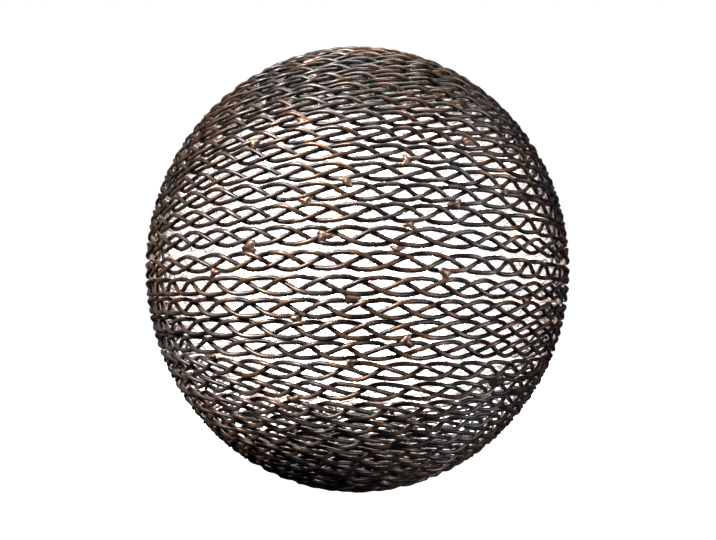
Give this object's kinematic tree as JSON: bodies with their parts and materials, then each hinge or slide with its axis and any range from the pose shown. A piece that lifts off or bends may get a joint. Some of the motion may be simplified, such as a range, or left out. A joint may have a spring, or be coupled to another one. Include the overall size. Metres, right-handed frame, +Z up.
{
  "type": "decorative sphere",
  "caption": "Hollow openwork ball built up from level rows of plaited copper-finished wire; a display ornament that stands on its pressed underside.",
  "frame": {"origin": "middle of the pressed underside, on the upright axis of the ball", "axes": "+Z up through both eyes of the ball; X and Y level, -Y towards the side first seen; the rows are level rings round Z"},
  "size_m": [0.25, 0.25, 0.2599],
  "materials": {
    "copper_wire": "antique copper over steel wire, nearly black in the hollows, rubbed brown on the crowns"
  },
  "bodies": {
    "root": {"plait_01": "copper_wire", "plait_02": "copper_wire", "plait_03": "copper_wire", "plait_04": "copper_wire", "plait_05": "copper_wire", "plait_06": "copper_wire", "plait_07": "copper_wire", "plait_08": "copper_wire", "plait_09": "copper_wire", "plait_10": "copper_wire", "plait_11": "copper_wire", "plait_12": "copper_wire", "plait_13": "copper_wire", "plait_14": "copper_wire", "plait_15": "copper_wire", "plait_16": "copper_wire", "plait_17": "copper_wire", "plait_18": "copper_wire", "plait_19": "copper_wire", "plait_20": "copper_wire", "plait_21": "copper_wire", "plait_22": "copper_wire", "plait_23": "copper_wire", "plait_24": "copper_wire", "plait_25": "copper_wire", "plait_26": "copper_wire", "plait_27": "copper_wire", "plait_28": "copper_wire", "plait_29": "copper_wire", "plait_30": "copper_wire", "plait_31": "copper_wire", "plait_32": "copper_wire", "plait_33": "copper_wire", "plait_34": "copper_wire", "plait_35": "copper_wire", "plait_36": "copper_wire", "plait_37": "copper_wire", "plait_38": "copper_wire", "plait_39": "copper_wire", "plait_40": "copper_wire"}
  },
  "joints": []
}
